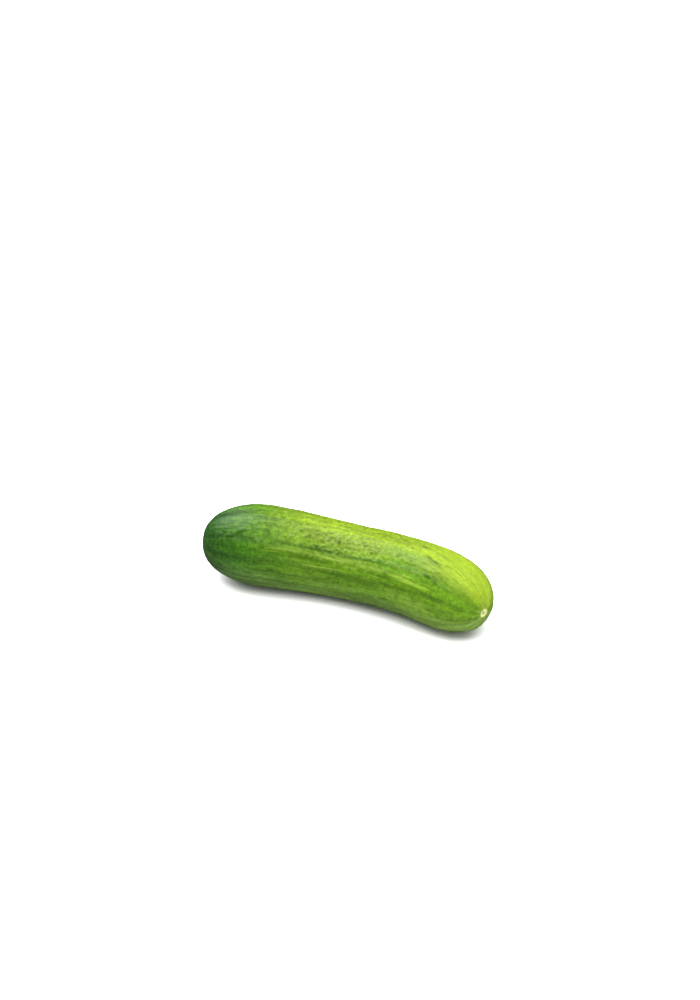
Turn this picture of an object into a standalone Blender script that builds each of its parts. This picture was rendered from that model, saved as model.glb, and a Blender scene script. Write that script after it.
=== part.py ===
"""A mini cucumber, as picked: one fruit, lying on its side on a level surface.

The fruit is one closed skin, lofted through rings that stand square to a curved core line. The core
line runs straight from the stem end and hooks towards the blossom end, as a hanging fruit does when it
meets a leaf. Metres, +Z up. The origin is on the surface below the middle of the fruit's box, and +X
points from the stem end to the blossom end.
"""

import math

import bmesh
import bpy
from mathutils import Matrix, Vector

MM = 0.001

# Core line: its length from tip to tip, and how far its heading turns towards -Y on the way.
LENGTH = 150 * MM
HOOK = math.radians(-42)
HOOK_GROWTH = 1.75  # the turn grows as this power of the distance from the stem
DROOP = 1.5 * MM  # how far the blossom tip sinks below the core line's height
DROOP_START = 0.75  # share of the length

# Half thickness at three places along the fruit, each (share of the length, radius).
STEM_SHOULDER = (0.14, 20.3 * MM)
WAIST = (0.53, 18.25 * MM)
BLOSSOM_SHOULDER = (0.82, 18.7 * MM)

# The two rounded ends are superellipses: 2 is an ellipse, and more is blunter.
STEM_CAP = 35 * MM
STEM_BLUNTNESS = 2.2
BLOSSOM_CAP = 34 * MM
BLOSSOM_BLUNTNESS = 2.35

# Girth: three seed chambers swell the fruit a little, and nine low ridges run along it. One crest of
# each is the line that the fruit rests on.
CHAMBERS = 3
CHAMBER_SWELL = 0.22 * MM
RIDGES = 9
RIDGE_HEIGHT = 0.16 * MM
BELLY_ANGLE = math.radians(270)

# The dry stub of the stem stands in a shallow hollow.
STUB_RADIUS = 2.6 * MM
STUB_HEIGHT = 0.5 * MM
STUB_TAPER = 0.82  # its broken face's radius as a share of its foot's
STUB_CORE = 0.2 * MM  # how far the broken face sinks in the middle
STEM_HOLLOW = 1.5 * MM
STEM_HOLLOW_RADIUS = 5.0 * MM

# The scar that the flower left is a small dish in a slight pucker.
SCAR_RADIUS = 2.1 * MM
SCAR_DEPTH = 0.35 * MM
SCAR_TAPER = 0.72
SCAR_CORE = 0.1 * MM
PUCKER = 0.4 * MM
PUCKER_RADIUS = 4.5 * MM

# The flesh gives a little where it rests, which leaves a narrow flat along the belly.
REST_DEPTH = 0.25 * MM

# Fineness of the mesh.
COLUMNS = 72
CAP_RINGS = 14
BODY_RINGS = 20
CORE_STEPS = 600

SKIN_COLOUR = (0.17, 0.33, 0.03, 1.0)
SKIN_ROUGHNESS = 0.4


def eased(share):
    """0 to 1 with no slope at either end."""
    share = min(max(share, 0.0), 1.0)
    return share * share * (3 - 2 * share)


def body_radius(distance):
    """Half thickness at a distance along the core line, before the ends are rounded."""
    share = distance / LENGTH
    lower, upper = (STEM_SHOULDER, WAIST) if share < WAIST[0] else (WAIST, BLOSSOM_SHOULDER)
    blend = eased((share - lower[0]) / (upper[0] - lower[0]))
    return lower[1] + (upper[1] - lower[1]) * blend


def core_line():
    """(points, headings) at even steps from the stem tip to the blossom tip, in plan."""
    step = LENGTH / CORE_STEPS
    headings = [HOOK * (i / CORE_STEPS) ** HOOK_GROWTH for i in range(CORE_STEPS + 1)]
    points = [Vector((0.0, 0.0))]
    for before, after in zip(headings, headings[1:]):
        middle = (before + after) / 2
        points.append(points[-1] + step * Vector((math.cos(middle), math.sin(middle))))
    return points, headings


def core_frame(core, distance):
    """(centre, forward, left) of the ring at a distance along the core line."""
    points, headings = core
    place = min(max(distance / LENGTH, 0.0), 1.0) * CORE_STEPS
    index = min(int(place), CORE_STEPS - 1)
    between = place - index
    plan = points[index].lerp(points[index + 1], between)
    heading = headings[index] + (headings[index + 1] - headings[index]) * between
    sunk = max(distance / LENGTH - DROOP_START, 0.0) / (1 - DROOP_START)
    height = body_radius(distance) - DROOP * sunk**2
    forward = Vector((math.cos(heading), math.sin(heading), 0.0))
    left = Vector((-math.sin(heading), math.cos(heading), 0.0))
    return Vector((*plan, height)), forward, left


def cap_rings(length, bluntness, tip_radius, full_radius):
    """(distance from the tip, share of the full radius) from a tip's own edge to the full girth."""
    power = 2 / bluntness
    first = math.asin((tip_radius / full_radius) ** (1 / power))
    angles = [first + (math.pi / 2 - first) * i / CAP_RINGS for i in range(CAP_RINGS + 1)]
    return [(length * (1 - math.cos(a) ** power), math.sin(a) ** power) for a in angles]


def hollow(radius, depth, reach):
    """How far an end's surface sinks at a radius from its tip."""
    return depth * math.exp(-((radius / reach) ** 2))


def swell(angle):
    """What the seed chambers and the ridges add to the radius at an angle round the fruit."""
    turn = angle - BELLY_ANGLE
    return CHAMBER_SWELL * math.cos(CHAMBERS * turn) + RIDGE_HEIGHT * math.cos(RIDGES * turn)


def ring(core, distance, share, inward=0.0):
    """Points of one ring. Inward moves it along the core line, for the hollows, stub and scar."""
    centre, forward, left = core_frame(core, distance)
    radius = body_radius(distance) * share
    points = []
    for i in range(COLUMNS):
        angle = math.tau * i / COLUMNS
        reach = radius + swell(angle) * share
        across = left * math.cos(angle) + Vector((0.0, 0.0, math.sin(angle)))
        points.append(centre + forward * inward + across * reach)
    return points


def stem_rings(core):
    """Rings from the stub's broken face to the full girth."""
    radius = body_radius(0.0)
    foot = hollow(STUB_RADIUS, STEM_HOLLOW, STEM_HOLLOW_RADIUS)
    rings = [ring(core, 0.0, STUB_RADIUS * STUB_TAPER / radius, foot - STUB_HEIGHT)]
    for distance, share in cap_rings(STEM_CAP, STEM_BLUNTNESS, STUB_RADIUS, radius):
        sunk = hollow(radius * share, STEM_HOLLOW, STEM_HOLLOW_RADIUS)
        rings.append(ring(core, distance, share, sunk))
    return rings


def blossom_rings(core):
    """Rings from the full girth to the floor of the flower's scar."""
    radius = body_radius(LENGTH)
    rim = hollow(SCAR_RADIUS, PUCKER, PUCKER_RADIUS)
    rings = [ring(core, LENGTH, SCAR_RADIUS * SCAR_TAPER / radius, -rim - SCAR_DEPTH)]
    for distance, share in cap_rings(BLOSSOM_CAP, BLOSSOM_BLUNTNESS, SCAR_RADIUS, radius):
        sunk = hollow(radius * share, PUCKER, PUCKER_RADIUS)
        rings.append(ring(core, LENGTH - distance, share, -sunk))
    return rings[::-1]


def body_rings(core):
    """Rings between the two caps, without the caps' own last rings."""
    span = LENGTH - STEM_CAP - BLOSSOM_CAP
    distances = [STEM_CAP + span * i / BODY_RINGS for i in range(1, BODY_RINGS)]
    return [ring(core, distance, 1.0) for distance in distances]


def middle(points):
    """The mean of a ring's points."""
    return sum(points, Vector()) / len(points)


def loft(rings, start, end):
    """A closed mesh through the rings, with a fan to a point at each end."""
    mesh = bmesh.new()
    loops = [[mesh.verts.new(point) for point in points] for points in rings]
    for before, after in zip(loops, loops[1:]):
        for i in range(COLUMNS):
            j = (i + 1) % COLUMNS
            mesh.faces.new((before[i], before[j], after[j], after[i]))
    for loop, tip in ((loops[0], start), (loops[-1], end)):
        centre = mesh.verts.new(tip)
        for i in range(COLUMNS):
            mesh.faces.new((centre, loop[(i + 1) % COLUMNS], loop[i]))
    bmesh.ops.recalc_face_normals(mesh, faces=mesh.faces)
    return mesh


def set_down(mesh, core):
    """Turns the fruit so that its tips lie along X, flattens its belly and centres it on the origin."""
    run = core[0][-1] - core[0][0]
    turn = Matrix.Rotation(-math.atan2(run.y, run.x), 4, "Z")
    bmesh.ops.transform(mesh, matrix=turn, verts=mesh.verts)
    floor = min(vert.co.z for vert in mesh.verts) + REST_DEPTH
    for vert in mesh.verts:
        vert.co.z = max(vert.co.z, floor)
    low = [min(vert.co[axis] for vert in mesh.verts) for axis in range(3)]
    high = [max(vert.co[axis] for vert in mesh.verts) for axis in range(3)]
    origin = Vector(((low[0] + high[0]) / 2, (low[1] + high[1]) / 2, floor))
    bmesh.ops.translate(mesh, vec=-origin, verts=mesh.verts)


def skin_material():
    """Plain green skin with a soft shine."""
    material = bpy.data.materials.new("skin")
    material.use_nodes = True
    shader = material.node_tree.nodes["Principled BSDF"]
    shader.inputs["Base Color"].default_value = SKIN_COLOUR
    shader.inputs["Roughness"].default_value = SKIN_ROUGHNESS
    shader.inputs["Metallic"].default_value = 0.0
    return material


def build_cucumber():
    """The whole fruit as one object."""
    core = core_line()
    rings = stem_rings(core) + body_rings(core) + blossom_rings(core)
    stub_centre = middle(rings[0]) + core_frame(core, 0.0)[1] * STUB_CORE
    scar_centre = middle(rings[-1]) - core_frame(core, LENGTH)[1] * SCAR_CORE
    mesh = loft(rings, stub_centre, scar_centre)
    set_down(mesh, core)
    data = bpy.data.meshes.new("cucumber")
    mesh.to_mesh(data)
    mesh.free()
    data.shade_smooth()
    data.materials.append(skin_material())
    cucumber = bpy.data.objects.new("cucumber", data)
    bpy.context.scene.collection.objects.link(cucumber)
    return cucumber


def main():
    for found in list(bpy.data.objects):
        bpy.data.objects.remove(found)
    build_cucumber()


main()
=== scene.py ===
import math

import bmesh
import bpy
import numpy as np
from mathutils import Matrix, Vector, noise
from mathutils.bvhtree import BVHTree


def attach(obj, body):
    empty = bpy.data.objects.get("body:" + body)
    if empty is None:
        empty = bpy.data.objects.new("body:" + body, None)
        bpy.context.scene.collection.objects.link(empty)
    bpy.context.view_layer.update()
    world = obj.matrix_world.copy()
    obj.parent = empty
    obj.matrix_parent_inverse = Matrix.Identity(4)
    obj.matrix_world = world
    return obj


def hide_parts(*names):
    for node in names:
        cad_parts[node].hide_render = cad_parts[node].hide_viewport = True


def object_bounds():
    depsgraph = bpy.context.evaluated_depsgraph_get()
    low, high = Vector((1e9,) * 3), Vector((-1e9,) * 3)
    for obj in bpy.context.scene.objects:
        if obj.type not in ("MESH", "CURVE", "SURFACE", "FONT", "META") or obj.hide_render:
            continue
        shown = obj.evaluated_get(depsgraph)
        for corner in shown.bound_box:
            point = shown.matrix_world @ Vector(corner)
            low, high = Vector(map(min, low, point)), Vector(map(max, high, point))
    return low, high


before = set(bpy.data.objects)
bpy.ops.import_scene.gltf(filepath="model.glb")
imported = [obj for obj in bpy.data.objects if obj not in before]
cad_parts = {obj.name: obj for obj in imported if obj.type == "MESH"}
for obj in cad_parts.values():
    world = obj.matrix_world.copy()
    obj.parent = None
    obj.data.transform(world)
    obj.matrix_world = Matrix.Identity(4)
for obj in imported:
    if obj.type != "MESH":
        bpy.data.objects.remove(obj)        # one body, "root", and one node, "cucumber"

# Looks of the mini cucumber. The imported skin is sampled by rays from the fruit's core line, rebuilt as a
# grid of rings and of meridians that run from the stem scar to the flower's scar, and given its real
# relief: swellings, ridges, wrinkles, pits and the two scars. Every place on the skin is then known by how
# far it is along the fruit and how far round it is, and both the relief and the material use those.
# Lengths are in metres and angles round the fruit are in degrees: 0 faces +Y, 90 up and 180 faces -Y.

CAD_BOUNDS = [list(corner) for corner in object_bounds()]
MM = 0.001


def rgb(red, green, blue):
    """An opaque colour from linear red, green and blue."""
    return (red, green, blue, 1.0)


# The grid of the skin
COLUMNS = 256
TIP_STEP = 0.13 * MM  # spacing of rings at a tip
BODY_STEP = 0.5 * MM  # and away from the tips
TIP_SPREAD = 9 * MM  # how far from a tip the spacing takes to widen
FOCUS_SHARE = 0.22  # share of the core's length from each tip to the point that its end is sampled from
HARMONICS = 14  # waves round the fruit that are kept from the CAD's flat facets
EVEN_OUT = 2.0 * MM  # reach of the smoothing along the fruit
TIP_EVEN_OUT = 0.2 * MM  # and at the tips, where the CAD's scars keep their shape
TIP_KEPT = (3.0 * MM, 6.0 * MM)  # from a tip, where the first of these smoothings gives way to the other
GIRTH = 19 * MM  # typical radius, which turns an angle round the fruit into a distance

# Noise on the skin: (size of its features round the fruit, and along it, seed)
LUMPS = (14 * MM, 26 * MM, 3.1)
RIDGES = (3.0 * MM, 60 * MM, 8.7)
CREASES = (4.2 * MM, 20 * MM, 1.9)
CREASED = (9 * MM, 24 * MM, 4.4)  # where the creases are
WRINKLES = (1.5 * MM, 4.0 * MM, 5.3)
PEBBLES = (1.15 * MM, 1.7 * MM, 7.6)
PLEATS = (3.6 * MM, 9 * MM, 2.8)

# Relief
SMOOTH_TIP = (3 * MM, 14 * MM)  # from a tip, where the body's relief starts and where it is full
LUMP_HEIGHT = 0.28 * MM
RIDGE_HEIGHT = 0.34 * MM
CREASE_DEPTH = 0.20 * MM
WRINKLE_HEIGHT = 0.11 * MM
PEBBLE_HEIGHT = 0.34 * MM
PEBBLED = (121, 0.52, 8.5 * MM, 27 * MM)  # degrees, share, and half extents round and along
PEBBLES_ELSEWHERE = 0.14  # their height away from that patch, as a share
STREAK_HEIGHT = 0.07 * MM
PIT_DEPTH = 0.16 * MM
PIT_COUNT = 170
PIT_SEED = 7
# Groups of larger dents: (degrees, share, reach in degrees, reach as a share, how many, their size)
PIT_GROUPS = [
    (131, 0.135, 9, 0.050, 11, 1.00),
    (130, 0.835, 8, 0.035, 8, 1.10),
    (120, 0.480, 2, 0.006, 2, 1.00),
    (318, 0.620, 7, 0.040, 6, 1.00),
]
# The deepest dents at the stem end: (degrees, share, half width and half length in millimetres, depth)
DENTS = [
    (135, 0.110, 0.75, 2.4, 2.6),
    (131, 0.128, 0.90, 1.8, 2.8),
    (134, 0.156, 0.65, 2.6, 2.2),
    (137, 0.182, 0.60, 1.6, 1.8),
    (122, 0.215, 0.55, 3.8, 1.4),
]

# The scars, by distance from their tip
RING_RADIUS = 1.45 * MM  # crest of the pale ring round the flower's scar
RING_WIDTH = 0.45 * MM
RING_HEIGHT = 0.24 * MM
RING_EDGE = 2.1 * MM
EYE_RADIUS = 0.75 * MM  # of the sunken middle
EYE_DEPTH = 0.16 * MM
TORN_EDGE = 2.6 * MM  # of the torn stalk
TORN_HEIGHT = 0.42 * MM
TIP_NOISE_REACH = 4 * MM  # past both scars
PLEAT_DEPTH = 0.17 * MM
PLEATED = (4.2 * MM, 3.2 * MM)  # where the pleats are deepest, and how far either side they fade
# Noise across the tips: (size of its features, seed)
FLOWER_ROUGH = (0.45 * MM, 2.4)
FLOWER_GRAIN = 0.08 * MM  # height of that noise inside the flower's scar
TORN_COARSE = (1.1 * MM, 6.2)
TORN_FINE = (0.4 * MM, 9.9)

# Streaks that run along the skin: (degrees round it, start and end as shares of its length, half width in
# degrees, strength: pale above 0 and dark below)
STREAKS = [
    (78, 0.14, 0.70, 5, 0.35),
    (96, 0.30, 0.62, 6, 0.15),
    (107, 0.64, 0.86, 6, -0.45),
    # the next row is a painted highlight: a pale patch of sheen on the upper side near the blossom end
    (117, 0.79, 0.86, 4, 0.40),
    (137, 0.25, 0.70, 2.8, -0.80),
    # the next two rows are partly pale stripes and partly a painted highlight along the crest of a low ridge
    (145, 0.22, 0.58, 3.2, 0.60),
    (147.5, 0.56, 0.86, 3.2, 1.00),
    (152, 0.30, 0.47, 4, -0.65),
    (155, 0.80, 1.00, 6, -0.50),
    (133, 0.87, 1.02, 9, -0.20),
    (168, 0.49, 0.67, 5, -0.60),
    (176, 0.66, 0.86, 8, 0.55),
    (130, 0.70, 0.82, 8, -0.30),
    (194, 0.70, 1.00, 11, 0.40),
    # short, thin and bright
    (141, 0.50, 0.60, 1.3, 0.90),
    (147, 0.42, 0.53, 1.3, 0.95),
    (153, 0.50, 0.60, 1.4, 0.80),
    (158, 0.29, 0.40, 1.4, 0.95),
    (161, 0.36, 0.52, 1.5, 1.00),
    (139, 0.58, 0.67, 1.2, 0.80),
    (150, 0.20, 0.31, 1.3, 0.60),
    (156, 0.58, 0.68, 1.3, 0.75),
    (165, 0.44, 0.55, 1.3, 0.60),
    (143, 0.71, 0.80, 1.3, 0.80),
]
STREAK_COUNT = 34
STREAK_SEED = 3

# Colours of the skin along its pale upper side and its deep green flanks: (share from the stem, colour)
PALE_SIDE = [
    (0.04, rgb(0.014, 0.07, 0.007)),
    (0.16, rgb(0.075, 0.20, 0.009)),
    (0.36, rgb(0.21, 0.33, 0.012)),
    (0.60, rgb(0.22, 0.34, 0.012)),
    (1.00, rgb(0.35, 0.51, 0.024)),
]
DEEP_SIDE = [
    (0.00, rgb(0.016, 0.06, 0.006)),
    (0.17, rgb(0.038, 0.14, 0.003)),
    (0.36, rgb(0.105, 0.24, 0.003)),
    (0.75, rgb(0.105, 0.24, 0.003)),
    (1.00, rgb(0.145, 0.31, 0.007)),
]
# The underside's colours: partly a paler, greyer belly of the skin's own, partly painted light bounced and
# mirrored up from the floor
DULL_BELLY_AND_BOUNCE = rgb(0.17, 0.265, 0.075)
LIME_BELLY_AND_BOUNCE = rgb(0.26, 0.38, 0.10)  # near the flower's scar

# Where those colours lie, in degrees round the fruit: a pair is where a colour starts and where it is full
PALE_BACK = (5, 48)
PALE_FRONT = 97  # where the pale side starts to give way in front
PALE_EDGES = (162, 140)  # where it has given way, towards the stem and towards the blossom
EDGE_SHIFT = (0.55, 0.70)  # shares of the length between which the first of these gives way to the other
BELLY_FRONT = (176, 216)
BELLY_BACK = (355, 315)
BELLY_BOUNCE_COVER = 0.5  # how much of the colour under it the belly's colour hides, where it is full

# Colours of its marks, of the painted highlight on the fine relief's crests and of the painted shade in its
# valleys
PALE_STREAK_AND_HIGHLIGHT = rgb(0.29, 0.45, 0.045)
DARK_STREAK = rgb(0.022, 0.088, 0.003)
FRECKLE = rgb(0.30, 0.42, 0.10)
# painted highlight on the crests of the fine relief, darker at the stem end, and painted shade in its
# valleys, pits and creases
STEM_CREST_HIGHLIGHT = rgb(0.055, 0.160, 0.045)
CREST_HIGHLIGHT = rgb(0.27, 0.42, 0.07)
VALLEY_SHADE = rgb(0.020, 0.090, 0.003)
# How much of the skin's colour the marks and the painted highlight and shade hide, where they are strongest
STREAK_COVER = 0.85
FRECKLE_COVER = 0.16
CREST_HIGHLIGHT_COVER = 0.50
VALLEY_SHADE_COVER = 0.62
# Heights of the fine relief, in millimetres, at which its painted highlight and painted shade start and are
# full
CREST_HIGHLIGHT_HEIGHTS = (0.02, 0.17)
VALLEY_SHADE_HEIGHTS = (-0.03, -0.26)

# Colours of the scars: a pair is the two ends of a mottled colour
FLOWER_RAYS = rgb(0.52, 0.66, 0.14)
CREAM = (rgb(0.80, 0.84, 0.26), rgb(1.0, 1.0, 0.50))
EYE_BROWN = (rgb(0.34, 0.33, 0.18), rgb(0.64, 0.62, 0.36))
STALK_RAYS = rgb(0.20, 0.29, 0.09)
STRAW = (rgb(0.17, 0.12, 0.04), rgb(0.58, 0.52, 0.21))
STRAW_GREEN = rgb(0.30, 0.33, 0.08)
STRAW_CORE = rgb(0.16, 0.11, 0.04)
# a painted shadow line just outside the torn stalk's edge
TORN_RIM_SHADOW = rgb(0.05, 0.08, 0.01)

# Gloss and bumps
SKIN_GLOSS = (0.28, 0.42)  # roughness of the wax, least and most
SCAR_ROUGHNESS = 0.85
SKIN_SPECULAR = 0.28
PORE_DEPTH = 0.03 * MM
RIPPLE_DEPTH = 0.12 * MM
HAIR_DEPTH = 0.14 * MM
FRECKLE_SPACING = 1.613 * MM

# The floor's brightness to the camera, to the light that it passes on and to reflections
FLOOR_SEEN = 0.92
FLOOR_LIT = 0.5
FLOOR_MIRRORED = 0.06
FLOOR_ROUGHNESS = 0.9
FLOOR_HALF = 6.0

# Camera and light
CAMERA_AZIMUTH = math.radians(23.1)
CAMERA_ELEVATION = math.radians(32)
CAMERA_DISTANCE = 0.796
CAMERA_LENS = 59.6
SENSOR = 36.0
# How far below and left of the picture's middle the fruit's middle lies, as shares of its height
DROP_IN_PICTURE = 0.0635
LEFT_IN_PICTURE = 0.0015
HORIZON_LIGHT = 0.18
ZENITH_LIGHT = 2.2
SKY_RISE = (0.25, 0.95)  # heights on the dome where the light starts to rise and where it is full
MIRRORED_SHARE = 0.10
# Softboxes: (azimuth and elevation in degrees, distance, width and depth, power in watts)
FLOOR_LIGHT = (23, 72, 0.9, (1.0, 0.5), 10.5)
KEY_LIGHT = (250, 48, 0.9, (0.8, 0.8), 7.5)


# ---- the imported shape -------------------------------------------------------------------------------


def welded(node):
    """The CAD node's mesh as a bmesh whose split vertices are joined."""
    mesh = bmesh.new()
    mesh.from_mesh(node.data)
    bmesh.ops.remove_doubles(mesh, verts=mesh.verts, dist=0.001 * MM)
    return mesh


def tips(mesh):
    """(stem tip, blossom tip): the two vertices where the most edges meet, in order along X."""
    hubs = sorted(mesh.verts, key=lambda vert: -len(vert.link_edges))[:2]
    return sorted((hub.co.copy() for hub in hubs), key=lambda point: point.x)


def hit(tree, start, direction):
    """Where a ray from inside the fruit meets its skin."""
    return tree.ray_cast(start, direction)[0]


def slice_centre(tree, x, guess):
    """The middle of the fruit's section at x."""
    centre = Vector((x, guess.y, guess.z))
    for _ in range(3):
        for axis in (Vector((0, 1, 0)), Vector((0, 0, 1))):
            ends = [hit(tree, centre, axis * side) for side in (1, -1)]
            offset = (ends[0] + ends[1]) / 2 - centre
            centre += axis * offset.dot(axis)
    return centre


class CoreLine:
    """A smooth line through the middle of the fruit, from tip to tip, known by distance along it."""

    def __init__(self, tree, stem, blossom, slices=25, degree=4, steps=600):
        inset = FOCUS_SHARE * (blossom.x - stem.x)
        points = [stem, blossom]
        guess = (stem + blossom) / 2
        for x in np.linspace(stem.x + inset, blossom.x - inset, slices):
            guess = slice_centre(tree, x, Vector((x, guess.y, guess.z)))
            points.append(guess)
        data = np.array(points)
        weights = np.ones(len(data))
        weights[:2] = len(data)
        xs = np.linspace(stem.x, blossom.x, steps + 1)
        curves = [np.polyfit(data[:, 0], data[:, axis], degree, w=weights) for axis in (1, 2)]
        self.points = np.stack([xs, np.polyval(curves[0], xs), np.polyval(curves[1], xs)], axis=1)
        lengths = np.linalg.norm(np.diff(self.points, axis=0), axis=1)
        self.places = np.concatenate([[0], np.cumsum(lengths)])
        self.length = self.places[-1]

    def at(self, place):
        """(point, forward, left, up) at a distance from the stem tip."""
        point = Vector([np.interp(place, self.places, self.points[:, axis]) for axis in range(3)])
        reach = self.length / 200
        ends = [
            [np.interp(place + side * reach, self.places, self.points[:, axis]) for axis in range(3)]
            for side in (-1, 1)
        ]
        forward = (Vector(ends[1]) - Vector(ends[0])).normalized()
        left = Vector((0, 0, 1)).cross(forward).normalized()
        return point, forward, left, forward.cross(left)


class RingRays:
    """Rays of one ring: they leave a point on the core line, sloped towards a tip by tilt (0 is square)."""

    def __init__(self, core, place, tilt=0.0, tip=None):
        self.place = place
        self.origin, self.forward, self.left, self.up = core.at(place)
        self.tilt = tilt
        self.pole = (tip - self.origin).normalized() if tip else self.forward

    def direction(self, angle):
        """Unit vector of the ray at that angle round the ring."""
        across = self.left * math.cos(angle) + self.up * math.sin(angle)
        return (across * math.cos(self.tilt) + self.pole * math.sin(self.tilt)).normalized()


def rays_at(core, stem, blossom, stage):
    """The rays at a stage: 0 to 1 fan round the stem end, 1 to 2 run along the core and 2 to 3 fan again."""
    first = FOCUS_SHARE * core.length
    last = core.length - first
    if stage < 1:
        return RingRays(core, first, math.pi / 2 * (1 - stage), stem)
    if stage < 2:
        return RingRays(core, first + (last - first) * (stage - 1))
    return RingRays(core, last, math.pi / 2 * (stage - 2), blossom)


def skin_lengths(core, tree, stem, blossom, stages):
    """The mean length of skin from the stem tip to each stage, measured along four meridians."""
    rays = [rays_at(core, stem, blossom, stage) for stage in stages]
    paths = []
    for angle in (0, math.pi / 2, math.pi, 3 * math.pi / 2):
        path = np.array([hit(tree, ray.origin, ray.direction(angle)) for ray in rays])
        paths.append(np.concatenate([[0], np.cumsum(np.linalg.norm(np.diff(path, axis=0), axis=1))]))
    return np.mean(paths, axis=0)


def ring_places(total):
    """Distances of the rings from the stem tip along the skin: close together at both tips."""
    places = [TIP_STEP]
    while places[-1] < total / 2:
        blend = min(places[-1] / TIP_SPREAD, 1.0)
        places.append(places[-1] + TIP_STEP + (BODY_STEP - TIP_STEP) * blend)
    places = [place * total / 2 / places[-1] for place in places]
    return np.array(places + [total - place for place in places[-2::-1]])


def ring_rays(core, tree, stem, blossom, steps=240):
    """(each ring's rays, each ring's distance from the stem tip along the skin, the skin's length)"""
    stages = np.arange(3 * steps + 1) / steps
    lengths = skin_lengths(core, tree, stem, blossom, stages)
    total = lengths[-1]
    places = ring_places(total)
    rays = [rays_at(core, stem, blossom, stage) for stage in np.interp(places, lengths, stages)]
    return rays, places, total


def smooth_around(distances):
    """Keeps the low waves round each ring, which takes the CAD's flat facets away."""
    waves = np.fft.rfft(distances, axis=1)
    waves[:, HARMONICS + 1 :] = 0
    return np.fft.irfft(waves, distances.shape[1], axis=1)


def smooth_along(distances, places, total, reach):
    """A Gaussian average along the fruit. Past a tip, the meridian across it carries on."""
    half = distances.shape[1] // 2
    across = np.roll(distances, half, axis=1)
    padded = np.concatenate([across[::-1], distances, across[::-1]])
    where = np.concatenate([-places[::-1], places, 2 * total - places[::-1]])
    gaps = np.gradient(where)
    smooth = np.empty_like(distances)
    for i, place in enumerate(places):
        near = np.abs(where - place) < 3 * reach
        weights = np.exp(-0.5 * ((where[near] - place) / reach) ** 2) * gaps[near]
        smooth[i] = weights @ padded[near] / weights.sum()
    return smooth


def eased(values, low, high):
    """0 below low, 1 above high and smooth between."""
    share = np.clip((values - low) / (high - low), 0, 1)
    return share * share * (3 - 2 * share)


def smoothed(distances, from_stem, total):
    """The distances without the CAD's flat facets, and with its scars kept."""
    distances = smooth_around(distances)
    tip = smooth_along(distances, from_stem, total, TIP_EVEN_OUT)
    body = smooth_along(distances, from_stem, total, EVEN_OUT)
    blend = eased(np.minimum(from_stem, total - from_stem), *TIP_KEPT)[:, None]
    return tip * (1 - blend) + body * blend


class Skin:
    """Points of the skin's grid, (rings, columns), and where each lies on the fruit."""

    def __init__(self):
        shape = welded(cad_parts["cucumber"])
        stem, blossom = tips(shape)
        tree = BVHTree.FromBMesh(shape)
        shape.free()
        self.core = CoreLine(tree, stem, blossom)
        rays, self.from_stem, total = ring_rays(self.core, tree, stem, blossom)
        self.from_blossom = total - self.from_stem
        self.angles = np.arange(COLUMNS) / COLUMNS * math.tau
        ways = [[ray.direction(angle) for angle in self.angles] for ray in rays]
        distances = [
            [(hit(tree, ray.origin, way) - ray.origin).length for way in row] for ray, row in zip(rays, ways)
        ]
        distances = smoothed(np.array(distances), self.from_stem, total)
        origins = np.array([ray.origin for ray in rays])
        self.points = origins[:, None] + np.array(ways) * distances[:, :, None]
        slopes = np.array([ray.tilt for ray in rays])
        inward = np.where(self.from_stem < total / 2, -1, 1)[:, None]
        centres = np.array([ray.place for ray in rays])[:, None]
        self.along = (centres + inward * np.sin(slopes)[:, None] * distances) / self.core.length


# ---- relief -------------------------------------------------------------------------------------------


def field(skin, around, along, seed, octaves=1):
    """Smooth noise on the skin, about -1 to 1, with features of the given sizes round and along it."""
    turn = np.stack([np.cos(skin.angles), np.sin(skin.angles)], axis=1) * GIRTH / around
    values = np.empty(skin.along.shape)
    for i, place in enumerate(skin.from_stem / along):
        for j, (x, y) in enumerate(turn):
            point = Vector((x + seed, y - seed, place + seed))
            values[i, j] = noise.fractal(point, 1.0, 2.0, octaves) if octaves > 1 else noise.noise(point)
    return values


def bump_at(skin, degrees, share, width, length):
    """1 at a place on the skin, falling to 0 over a width round the fruit and a length along it."""
    angle = skin.angles[None, :] - math.radians(degrees)
    across = (np.mod(angle + math.pi, math.tau) - math.pi) * GIRTH
    ahead = (skin.along - share) * skin.core.length
    return np.exp(-((across / width) ** 2) - (ahead / length) ** 2)


def dent(skin, degrees, share, width, length):
    """1 in the middle of a dent and below 0 on the low rim round it."""
    rim = bump_at(skin, degrees, share, width * 2.0, length * 2.0)
    return 1.3 * bump_at(skin, degrees, share, width, length) - 0.3 * rim


def pits(skin):
    """Small dents where spines fell off, and a few groups of larger ones."""
    draw = np.random.default_rng(PIT_SEED)
    dents = np.zeros(skin.along.shape)
    for _ in range(PIT_COUNT):
        degrees = draw.uniform(0, 360)
        share = draw.uniform(0.06, 0.94)
        width = draw.uniform(0.35, 0.7) * MM
        depth = draw.uniform(0.2, 0.7)
        dents += depth * dent(skin, degrees, share, width, width * draw.uniform(1.2, 2.4))
    for degrees, share, width, length, depth in DENTS:
        dents += depth * dent(skin, degrees, share, width * MM, length * MM)
    for middle, place, turn, reach, count, size in PIT_GROUPS:
        for _ in range(count):
            degrees = middle + turn * draw.uniform(-1, 1)
            share = place + reach * draw.uniform(-1, 1)
            width = size * draw.uniform(0.55, 1.05) * MM
            depth = draw.uniform(1.0, 2.6)
            dents += depth * dent(skin, degrees, share, width, width * draw.uniform(1.4, 3.2))
    return dents


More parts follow.
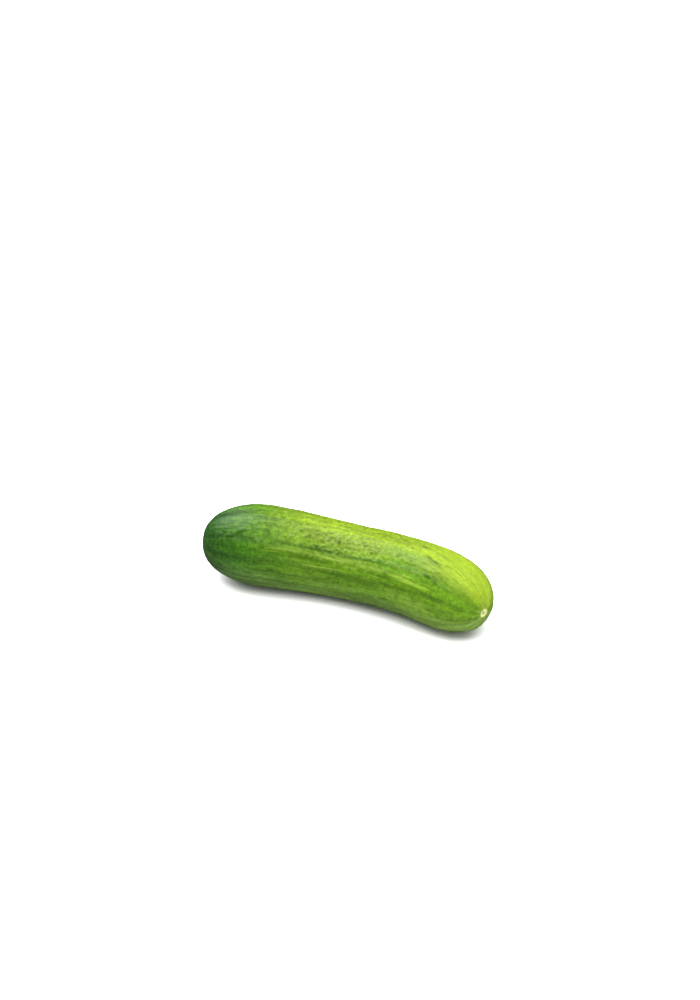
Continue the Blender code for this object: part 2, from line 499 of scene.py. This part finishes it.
def streak(skin, degrees, start, end, width, seed):
    """1 along a line that runs lengthways from share start to share end, and 0 away from it."""
    places = skin.along.mean(axis=1)
    wander = [noise.noise(Vector((place * 7, seed, 0))) for place in places]
    strength = [0.8 + 0.5 * noise.noise(Vector((place * 14, seed, 5))) for place in places]
    centre = np.radians(degrees + 3.0 * np.array(wander))[:, None]
    away = np.mod(skin.angles[None, :] - centre + math.pi, math.tau) - math.pi
    fade = eased(places, start - 0.03, start + 0.05) * (1 - eased(places, end - 0.05, end + 0.03))
    return np.exp(-((away / math.radians(width)) ** 2)) * (fade * np.array(strength))[:, None]


def marks(skin):
    """Pale streaks as positive numbers and dark ones as negative, about -1 to 1."""
    total = np.zeros(skin.along.shape)
    for seed, (degrees, start, end, width, strength) in enumerate(STREAKS):
        total += strength * streak(skin, degrees, start, end, width, seed)
    draw = np.random.default_rng(STREAK_SEED)
    for seed in range(STREAK_COUNT):
        degrees = draw.uniform(0, 360)
        start = draw.uniform(0.05, 0.7)
        end = start + draw.uniform(0.12, 0.4)
        strength = draw.choice([-1, 1]) * draw.uniform(0.15, 0.4)
        unseen = 1.0 if 225 < degrees or degrees < 50 else 0.45
        total += unseen * strength * streak(skin, degrees, start, end, draw.uniform(2, 6), seed + 50)
    return total


def tip_field(skin, reach, size, seed):
    """Smooth noise on the plane across a tip, about -1 to 1. reach is each ring's distance from the tip."""
    values = np.zeros(skin.along.shape)
    for i, radius in enumerate(reach):
        if radius > TIP_NOISE_REACH:
            continue
        for j, angle in enumerate(skin.angles):
            point = Vector((radius * math.cos(angle) / size, radius * math.sin(angle) / size, seed))
            values[i, j] = noise.noise(point)
    return values


def hill(values, middle, width):
    """1 at middle, falling to 0 over about a width either side."""
    return np.exp(-(((values - middle) / width) ** 2))


def flower_scar(skin):
    """Height of the ring and the sunken middle that the flower left."""
    reach = skin.from_blossom
    rough = tip_field(skin, reach, *FLOWER_ROUGH)
    ring = hill(reach, RING_RADIUS, RING_WIDTH)[:, None]
    eye = hill(reach, 0, EYE_RADIUS)[:, None]
    inside = (1 - eased(reach, RING_EDGE - RING_WIDTH, RING_EDGE + RING_WIDTH))[:, None]
    return RING_HEIGHT * ring * (1 + 0.7 * rough) - EYE_DEPTH * eye + FLOWER_GRAIN * rough * inside


def stalk_scar(skin):
    """Height of the torn fibres where the stalk came off."""
    reach = skin.from_stem
    coarse = tip_field(skin, reach, *TORN_COARSE)
    fine = tip_field(skin, reach, *TORN_FINE)
    inside = (1 - eased(reach, TORN_EDGE - 0.5 * MM, TORN_EDGE + 0.2 * MM))[:, None]
    return TORN_HEIGHT * (0.8 * coarse + 0.5 * fine) * inside


def relief(skin):
    """(height of the skin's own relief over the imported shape, its fine part alone), in metres."""
    nearest = np.minimum(skin.from_stem, skin.from_blossom)[:, None]
    body = eased(nearest, *SMOOTH_TIP)
    lumps = field(skin, *LUMPS)
    ridges = field(skin, *RIDGES)
    creases = hill(field(skin, *CREASES, octaves=2), 0, 0.07)
    creased = eased(field(skin, *CREASED), -0.15, 0.35)
    wrinkles = field(skin, *WRINKLES, octaves=2)
    pebbles = field(skin, *PEBBLES)
    patch = np.minimum(1.25 * bump_at(skin, *PEBBLED), 1)
    patch = PEBBLES_ELSEWHERE + (1 - PEBBLES_ELSEWHERE) * patch
    pleats = hill(field(skin, *PLEATS), 0, 0.16)
    gathered = hill(nearest, *PLEATED)

    fine = WRINKLE_HEIGHT * wrinkles * (0.35 + 0.65 * body)
    fine += PEBBLE_HEIGHT * pebbles * patch * body
    fine -= CREASE_DEPTH * creases * creased * body
    fine -= PIT_DEPTH * skin.dents * np.clip(0.75 + 1.4 * wrinkles, 0, 2)
    fine -= PLEAT_DEPTH * pleats * gathered
    height = fine + LUMP_HEIGHT * lumps * body + RIDGE_HEIGHT * ridges * body
    height += STREAK_HEIGHT * skin.marks
    height += flower_scar(skin) + stalk_scar(skin)
    return height, fine


# ---- building ------------------------------------------------------------------------------------------


def skin_mesh(skin):
    """A closed mesh of the grid, with a point at each tip."""
    rings, columns = skin.along.shape
    stem = skin.points[0].mean(axis=0)
    blossom = skin.points[-1].mean(axis=0)
    points = np.concatenate([skin.points.reshape(-1, 3), [stem, blossom]])
    index = np.arange(rings * columns).reshape(rings, columns)
    beside = np.roll(index, -1, axis=1)
    quads = np.stack([index[:-1], index[1:], beside[1:], beside[:-1]], axis=-1).reshape(-1, 4)
    fans = [(len(points) - 2, a, b) for a, b in zip(index[0], beside[0])]
    fans += [(len(points) - 1, b, a) for a, b in zip(index[-1], beside[-1])]
    mesh = bpy.data.meshes.new("cucumber_skin")
    mesh.from_pydata(points.tolist(), [], quads.tolist() + fans)
    mesh.update()
    return mesh


def with_tips(values, stem, blossom):
    """A grid of values as one list of the mesh's vertices, with the two tips' values last."""
    flat = values.reshape(-1, *values.shape[2:])
    return np.concatenate([flat, [stem], [blossom]])


def displace(mesh, heights):
    """Moves each vertex along its normal, and nothing below the surface that the fruit rests on."""
    count = len(mesh.vertices)
    normals = np.empty(count * 3, np.float32)
    mesh.vertex_normals.foreach_get("vector", normals)
    places = np.empty(count * 3, np.float32)
    mesh.vertices.foreach_get("co", places)
    moved = places.reshape(-1, 3) + normals.reshape(-1, 3) * heights[:, None]
    moved[:, 2] = np.maximum(moved[:, 2], 0)
    mesh.vertices.foreach_set("co", moved.astype(np.float32).ravel())
    mesh.update()


def store(mesh, name, values):
    """Keeps a number or a vector for each vertex, for the material."""
    kind = "FLOAT" if values.ndim == 1 else "FLOAT_VECTOR"
    attribute = mesh.attributes.new(name, kind, "POINT")
    key = "value" if values.ndim == 1 else "vector"
    attribute.data.foreach_set(key, values.astype(np.float32).ravel())


def store_places(mesh, skin):
    """Where each vertex lies on the fruit, in the forms that the material uses."""
    ones = np.ones(skin.along.shape)
    meridian = np.stack(
        [
            GIRTH * np.cos(skin.angles)[None, :] * ones,
            GIRTH * np.sin(skin.angles)[None, :] * ones,
            skin.from_stem[:, None] * ones,
        ],
        axis=-1,
    )
    total = skin.from_stem[0] + skin.from_blossom[0]
    reach = np.stack(
        [skin.along, skin.from_stem[:, None] * ones, skin.from_blossom[:, None] * ones], axis=-1
    )
    store(mesh, "meridian", with_tips(meridian, (0, 0, 0), (0, 0, total)))
    store(mesh, "reach", with_tips(reach, (0, 0, total), (1, total, 0)))
    store(mesh, "marks", with_tips(skin.marks, 0, 0))
    store(mesh, "fine", with_tips(skin.fine / MM, 0, 0))


def unwrap(mesh, skin):
    """A map with the fruit's length across it and its girth up it, open along the belly."""
    rings, columns = skin.along.shape
    across = np.append(skin.from_stem / (skin.from_stem[-1] + skin.from_stem[0]), [0.0, 1.0])
    layer = mesh.uv_layers.new(name="OFBake")
    start = columns * 3 // 4  # the belly's column
    for face in mesh.polygons:
        turns = [(v % columns - start) % columns for v in face.vertices if v < rings * columns]
        wraps = max(turns) - min(turns) > columns / 2
        for loop in face.loop_indices:
            vertex = mesh.loops[loop].vertex_index
            if vertex >= rings * columns:
                row = rings + vertex - rings * columns
                turn = min(turns) + 0.5 if not wraps else columns - 0.5
            else:
                row = vertex // columns
                turn = (vertex % columns - start) % columns
                turn += columns if wraps and turn < columns / 2 else 0
            layer.data[loop].uv = (across[row], turn / columns)


# ---- material ------------------------------------------------------------------------------------------


class Shader:
    """Adds nodes to a material and joins them. A value is a number, a tuple or another node's socket."""

    def __init__(self, tree):
        self.tree = tree

    def add(self, kind, values=(), **settings):
        node = self.tree.nodes.new(kind)
        for name, setting in settings.items():
            setattr(node, name, setting)
        for name, value in dict(values).items():
            self.put(value, node.inputs[name])
        return node

    def put(self, value, socket):
        """Sets a socket to a value, or joins another node's socket to it."""
        if isinstance(value, bpy.types.NodeSocket):
            self.tree.links.new(value, socket)
        else:
            socket.default_value = value

    def read(self, name):
        return self.add("ShaderNodeAttribute", attribute_name=name)

    def maths(self, operation, a, b):
        return self.add("ShaderNodeMath", {0: a, 1: b}, operation=operation).outputs[0]

    def times(self, a, b):
        return self.maths("MULTIPLY", a, b)

    def plus(self, a, b):
        return self.maths("ADD", a, b)

    def in_units(self, vector, x, y, z):
        """The vector with its parts measured in units of those lengths."""
        scale = (1 / x, 1 / y, 1 / z)
        return self.add("ShaderNodeVectorMath", {0: vector, 1: scale}, operation="MULTIPLY").outputs[0]

    def noise(self, vector, detail, roughness):
        """Noise from 0 to 1 whose features are about one unit of the vector wide."""
        values = {"Vector": vector, "Scale": 1.0, "Detail": detail, "Roughness": roughness}
        return self.add("ShaderNodeTexNoise", values).outputs[0]

    def rise(self, value, low, high, bottom=0.0, top=1.0):
        """bottom up to low, top from high on, and smooth between. low may be above high."""
        values = {0: value, 1: low, 2: high, 3: bottom, 4: top}
        node = self.add("ShaderNodeMapRange", values, interpolation_type="SMOOTHSTEP", clamp=True)
        return node.outputs[0]

    def sway(self, pattern, reach):
        """-reach where a noise is low, up to reach where it is high."""
        return self.rise(pattern, 0.3, 0.7, -reach, reach)

    def mix(self, share, a, b, blend="MIX"):
        node = self.add("ShaderNodeMix", data_type="RGBA", blend_type=blend)
        for slot, value in ((0, share), (6, a), (7, b)):
            self.put(value, node.inputs[slot])
        return node.outputs[2]

    def ramp(self, value, stops):
        """A colour for each value, between (place, colour) stops."""
        node = self.add("ShaderNodeValToRGB", {0: value})
        line = node.color_ramp
        while len(line.elements) < len(stops):
            line.elements.new(0.5)
        for element, (place, colour) in zip(line.elements, stops):
            element.position = place
            element.color = colour
        return node.outputs[0]


def new_material(name):
    """(material, Shader, its Principled BSDF)"""
    material = bpy.data.materials.new(name)
    material.use_nodes = True
    tree = material.node_tree
    return material, Shader(tree), tree.nodes["Principled BSDF"]


def base_colours(s, along, turn):
    """Green skin: dark at the stem, lime at the blossom end, and palest on the side that lay uppermost."""
    edge = s.rise(along, *EDGE_SHIFT, *PALE_EDGES)
    front = s.rise(turn, PALE_FRONT, edge, 1.0, 0.0)
    back = s.rise(turn, *PALE_BACK)
    colour = s.mix(s.times(front, back), s.ramp(along, DEEP_SIDE), s.ramp(along, PALE_SIDE))
    # the underside's colour, partly painted light bounced and mirrored up from the floor
    belly = s.times(s.rise(turn, *BELLY_FRONT, 0.0, BELLY_BOUNCE_COVER), s.rise(turn, *BELLY_BACK))
    dull_belly_and_bounce = s.mix(s.rise(along, 0.70, 0.85), DULL_BELLY_AND_BOUNCE, LIME_BELLY_AND_BOUNCE)
    return s.mix(s.times(belly, s.rise(along, 0.0, 0.14)), colour, dull_belly_and_bounce)


def shaded(s, colour, value, spread, depth):
    """The colour, darker by depth where value is low and lighter by it where value is high."""
    shade = s.rise(value, 0.5 - spread, 0.5 + spread, 1 - depth, 1 + depth)
    tint = s.add("ShaderNodeCombineXYZ", {0: shade, 1: shade, 2: shade}).outputs[0]
    return s.mix(1.0, colour, tint, "MULTIPLY")


def freckles(s, place):
    """Small pale freckles, each 1 in its middle, in about half of the cells of a loose pattern."""
    spaced = s.in_units(place, *[FRECKLE_SPACING] * 3)
    cells = s.add("ShaderNodeTexVoronoi", {"Vector": spaced, "Scale": 1.0})
    chosen = s.add("ShaderNodeSeparateXYZ", {0: cells.outputs["Color"]}).outputs[0]
    size = s.rise(chosen, 0.45, 1.0, 0.0, 0.34)
    return s.rise(s.maths("SUBTRACT", cells.outputs["Distance"], size), -0.16, 0.02, 1.0, 0.0)


class Places:
    """What the skin's material knows about each place on it: where it is, and a few patterns of noise."""

    def __init__(self, s):
        self.s = s
        self.meridian = s.read("meridian").outputs["Vector"]
        self.object = s.add("ShaderNodeTexCoord").outputs["Object"]
        reach = s.read("reach").outputs["Vector"]
        parts = s.add("ShaderNodeSeparateXYZ", {0: reach}).outputs
        self.along, self.from_stem, self.from_blossom = parts
        self.marks = s.read("marks").outputs["Fac"]
        self.fine = s.read("fine").outputs["Fac"]
        self.broad = self.lengthways(6.2, 45, 2.0)
        self.streaks = self.lengthways(2.6, 26, 3.0, 0.55)
        self.hairs = self.lengthways(0.9, 9, 3.0, 0.6)
        self.lobes = self.lengthways(11, 40, 1.0)
        self.rays = self.lengthways(4.4, 10, 2.0)
        self.fibres = self.lengthways(2.0, 14, 2.0)
        self.mottle = self.spotty(1.9, 3.0, 0.6)
        self.flecks = self.spotty(0.75, 2.0)
        self.grain = self.spotty(0.32, 2.0)
        self.turn = self.wavy_turn()

    def lengthways(self, around, length, detail, roughness=0.5):
        """Noise whose features are that many mm across and long."""
        place = self.s.in_units(self.meridian, around * MM, around * MM, length * MM)
        return self.s.noise(place, detail, roughness)

    def spotty(self, size, detail, roughness=0.5):
        """Noise whose features are that many mm wide."""
        return self.s.noise(self.s.in_units(self.object, *[size * MM] * 3), detail, roughness)

    def wavy_turn(self):
        """The angle round the fruit in degrees, 0 to 360, pushed to and fro by the streaks."""
        s = self.s
        across = s.add("ShaderNodeSeparateXYZ", {0: self.meridian}).outputs
        turn = s.times(s.maths("ARCTAN2", across[1], across[0]), 180 / math.pi)
        turn = s.plus(turn, s.times(s.maths("LESS_THAN", turn, 0.0), 360.0))
        return s.plus(turn, s.sway(self.streaks, 8.0))

    def wavy_along(self):
        """The share of the fruit's length from the stem, pushed to and fro by the mottle and the streaks."""
        s = self.s
        along = s.plus(self.along, s.sway(self.mottle, 0.015))
        return s.plus(along, s.sway(self.streaks, 0.025))


def mottled(s, colour, at):
    """The colour with its uneven shade, which is calmer on the upper side towards the blossom end."""
    plain = colour
    colour = shaded(s, colour, at.broad, 0.16, 0.14)
    colour = shaded(s, colour, at.streaks, 0.12, 0.11)
    colour = shaded(s, colour, at.hairs, 0.14, 0.10)
    colour = shaded(s, colour, at.mottle, 0.14, 0.18)
    colour = shaded(s, colour, at.flecks, 0.14, 0.12)
    colour = shaded(s, colour, at.grain, 0.20, 0.06)
    calm = s.times(s.rise(at.along, 0.66, 0.86, 0.0, 0.6), s.rise(at.turn, 150, 112))
    return s.mix(calm, colour, plain)


def marked(s, colour, at):
    """The colour with streaks, a few of them partly painted highlight, and freckles, painted highlight on
    the crests and painted shade in the valleys.
    """
    body = s.rise(at.along, 0.02, 0.2)
    ragged = s.rise(at.hairs, 0.35, 0.6, 0.55, 1.15)
    pale_and_highlight_share = s.times(s.rise(at.marks, 0.0, 0.9), s.times(body, ragged))
    dark_share = s.times(s.rise(at.marks, 0.0, -0.9), ragged)
    # pale streaks, one of them a painted highlight and two partly a painted highlight along a ridge
    colour = s.mix(s.times(pale_and_highlight_share, STREAK_COVER), colour, PALE_STREAK_AND_HIGHLIGHT)
    colour = s.mix(s.times(dark_share, STREAK_COVER), colour, DARK_STREAK)
    colour = s.mix(s.times(freckles(s, at.object), s.times(body, FRECKLE_COVER)), colour, FRECKLE)
    # painted highlight on the crests of the fine relief and painted shade in its valleys, pits and creases
    crest_highlight = s.mix(s.rise(at.along, 0.05, 0.36), STEM_CREST_HIGHLIGHT, CREST_HIGHLIGHT)
    colour = s.mix(s.rise(at.fine, *CREST_HIGHLIGHT_HEIGHTS, 0.0, CREST_HIGHLIGHT_COVER), colour, crest_highlight)
    return s.mix(s.rise(at.fine, *VALLEY_SHADE_HEIGHTS, 0.0, VALLEY_SHADE_COVER), colour, VALLEY_SHADE)


def with_flower_scar(s, colour, at):
    """(the colour with the flower's scar and the pale rays round it, how much of it is scar)"""
    reach = s.plus(at.from_blossom, s.sway(at.rays, 0.16 * MM))
    thin = s.rise(at.fibres, 0.50, 0.60)
    near = s.times(thin, s.rise(reach, 2.2 * MM, 6.5 * MM, 0.75, 0.0))
    colour = s.mix(near, colour, FLOWER_RAYS)
    ring = s.rise(reach, RING_EDGE - 0.1 * MM, RING_EDGE + 0.2 * MM, 1.0, 0.0)
    cream = s.mix(s.rise(at.fibres, 0.35, 0.6), *CREAM)
    eye = s.rise(reach, 0.5 * EYE_RADIUS, 1.4 * EYE_RADIUS, 1.0, 0.0)
    brown = s.mix(s.rise(at.grain, 0.35, 0.65), *EYE_BROWN)
    return s.mix(ring, colour, s.mix(eye, cream, brown)), ring


def with_stalk_scar(s, colour, at):
    """(the colour with the torn stalk's scar, the pale rays round it and a painted shadow line at its edge,
    how much of it is scar)
    """
    ragged = s.sway(at.grain, 0.3 * MM)
    corners = s.sway(at.lobes, 0.55 * MM)
    reach = s.plus(at.from_stem, s.plus(corners, ragged))
    thin = s.rise(at.fibres, 0.50, 0.60)
    near = s.times(thin, s.rise(reach, 2.6 * MM, 6.0 * MM, 0.40, 0.0))
    colour = s.mix(near, colour, STALK_RAYS)
    torn = s.rise(reach, TORN_EDGE - 0.15 * MM, TORN_EDGE + 0.35 * MM, 1.0, 0.0)
    # painted shadow: a dark line just outside the torn edge
    rim = s.rise(reach, TORN_EDGE + 0.1 * MM, TORN_EDGE + 1.2 * MM, 0.6, 0.0)
    straw = s.mix(s.rise(at.grain, 0.32, 0.6), *STRAW)
    straw = s.mix(s.rise(at.flecks, 0.42, 0.62, 0.0, 0.6), straw, STRAW_GREEN)
    straw = s.mix(s.rise(reach, 0.4 * MM, 1.3 * MM, 0.7, 0.0), straw, STRAW_CORE)
    return s.mix(torn, s.mix(rim, colour, TORN_RIM_SHADOW), straw), torn


def bump(s, height, depth, normal=None):
    """The normal of a surface with that height's relief on it, over another normal if there is one."""
    values = {"Strength": 1.0, "Distance": depth, "Height": height}
    if normal is not None:
        values["Normal"] = normal
    return s.add("ShaderNodeBump", values).outputs[0]


def skin_material():
    """Waxy green skin with lengthways streaks that draw together at the two scars."""
    material, s, surface = new_material("cucumber_skin")
    at = Places(s)
    colour = base_colours(s, at.wavy_along(), at.turn)
    colour = marked(s, mottled(s, colour, at), at)
    colour, flower = with_flower_scar(s, colour, at)
    colour, stalk = with_stalk_scar(s, colour, at)
    s.put(colour, surface.inputs["Base Color"])
    wax = s.rise(at.mottle, 0.3, 0.7, *SKIN_GLOSS)
    scarred = s.maths("MAXIMUM", flower, stalk)
    s.put(s.rise(scarred, 0.0, 1.0, wax, SCAR_ROUGHNESS), surface.inputs["Roughness"])
    surface.inputs["Specular IOR Level"].default_value = SKIN_SPECULAR
    pores = bump(s, at.grain, PORE_DEPTH)
    ripples = bump(s, at.flecks, RIPPLE_DEPTH, pores)
    s.put(bump(s, at.hairs, HAIR_DEPTH, ripples), surface.inputs["Normal"])
    return material


def floor_material():
    """White paper sweep. It is seen bright, and passes on less light than it shows."""
    material, s, surface = new_material("floor")
    path = s.add("ShaderNodeLightPath").outputs
    colour = s.mix(path["Is Glossy Ray"], rgb(*[FLOOR_LIT] * 3), rgb(*[FLOOR_MIRRORED] * 3))
    colour = s.mix(path["Is Camera Ray"], colour, rgb(*[FLOOR_SEEN] * 3))
    s.put(colour, surface.inputs["Base Color"])
    surface.inputs["Roughness"].default_value = FLOOR_ROUGHNESS
    surface.inputs["Specular IOR Level"].default_value = 0.0
    return material


# ---- stage ---------------------------------------------------------------------------------------------


def add_floor():
    """A wide level floor, which is part of the stage and not of the model."""
    mesh = bpy.data.meshes.new("floor")
    corners = [(x * FLOOR_HALF, y * FLOOR_HALF, 0) for x, y in ((-1, -1), (1, -1), (1, 1), (-1, 1))]
    mesh.from_pydata(corners, [], [(0, 1, 2, 3)])
    floor = bpy.data.objects.new("floor", mesh)
    bpy.context.scene.collection.objects.link(floor)
    floor.data.materials.append(floor_material())
    return floor


def add_world():
    """A white studio, brighter overhead than at the horizon. The skin mirrors little of it."""
    world = bpy.data.worlds.new("studio")
    bpy.context.scene.world = world
    world.use_nodes = True
    s = Shader(world.node_tree)
    path = s.add("ShaderNodeLightPath").outputs
    way = s.add("ShaderNodeTexCoord").outputs["Generated"]
    height = s.add("ShaderNodeSeparateXYZ", {0: way}).outputs[2]
    light = s.rise(height, *SKY_RISE, HORIZON_LIGHT, ZENITH_LIGHT)
    strength = s.mix(path["Is Glossy Ray"], light, s.times(light, MIRRORED_SHARE))
    strength = s.mix(path["Is Camera Ray"], strength, rgb(1, 1, 1))
    background = world.node_tree.nodes["Background"].inputs
    s.put(strength, background["Strength"])
    background["Color"].default_value = rgb(1, 1, 1)


def aim(thing, back, place):
    """Puts a light or a camera at a place, with its back to that direction."""
    thing.rotation_mode = "QUATERNION"
    thing.rotation_quaternion = (-back).to_track_quat("-Z", "Y")
    thing.location = place


def looking_back(azimuth, elevation):
    """Unit vector from the fruit towards something at that azimuth and elevation."""
    level = math.cos(elevation)
    return Vector((math.sin(azimuth) * level, -math.cos(azimuth) * level, math.sin(elevation)))


def add_softbox(name, azimuth, elevation, distance, size, power):
    """A rectangular light that faces the fruit."""
    light = bpy.data.lights.new(name, "AREA")
    light.shape = "RECTANGLE"
    light.size, light.size_y = size
    light.energy = power
    box = bpy.data.objects.new(name, light)
    bpy.context.scene.collection.objects.link(box)
    back = looking_back(math.radians(azimuth), math.radians(elevation))
    aim(box, back, back * distance)
    return box


def light_only(box, thing):
    """The softbox lights that object and no other."""
    lit = bpy.data.collections.new(box.name + "_lights")
    lit.objects.link(thing)
    box.light_linking.receiver_collection = lit


def add_camera(middle):
    """The camera looks at the fruit from the front, a little from its blossom end, and from above."""
    camera = bpy.data.cameras.new("camera")
    camera.lens = CAMERA_LENS
    camera.sensor_width = SENSOR
    body = bpy.data.objects.new("camera", camera)
    bpy.context.scene.collection.objects.link(body)
    back = looking_back(CAMERA_AZIMUTH, CAMERA_ELEVATION)
    right = Vector((math.cos(CAMERA_AZIMUTH), math.sin(CAMERA_AZIMUTH), 0))
    up = back.cross(right)
    reach = SENSOR / CAMERA_LENS
    towards = (-back - up * DROP_IN_PICTURE * reach - right * LEFT_IN_PICTURE * reach).normalized()
    aim(body, back, middle - towards * CAMERA_DISTANCE)
    bpy.context.scene.camera = body


def build_fruit():
    """The finished fruit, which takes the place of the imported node."""
    skin = Skin()
    skin.dents = pits(skin)
    skin.marks = marks(skin)
    height, skin.fine = relief(skin)
    mesh = skin_mesh(skin)
    displace(mesh, with_tips(height, height[0].mean(), height[-1].mean()))
    store_places(mesh, skin)
    unwrap(mesh, skin)
    mesh.shade_smooth()
    mesh.materials.append(skin_material())
    fruit = bpy.data.objects.new("cucumber_skin", mesh)
    bpy.context.scene.collection.objects.link(fruit)
    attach(fruit, "root")
    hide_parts("cucumber")


bpy.context.scene.view_settings.view_transform = "Standard"
build_fruit()
floor = add_floor()
add_world()
light_only(add_softbox("floor_light", *FLOOR_LIGHT), floor)
add_softbox("key", *KEY_LIGHT)
low, high = (Vector(corner) for corner in CAD_BOUNDS)
add_camera((low + high) / 2)
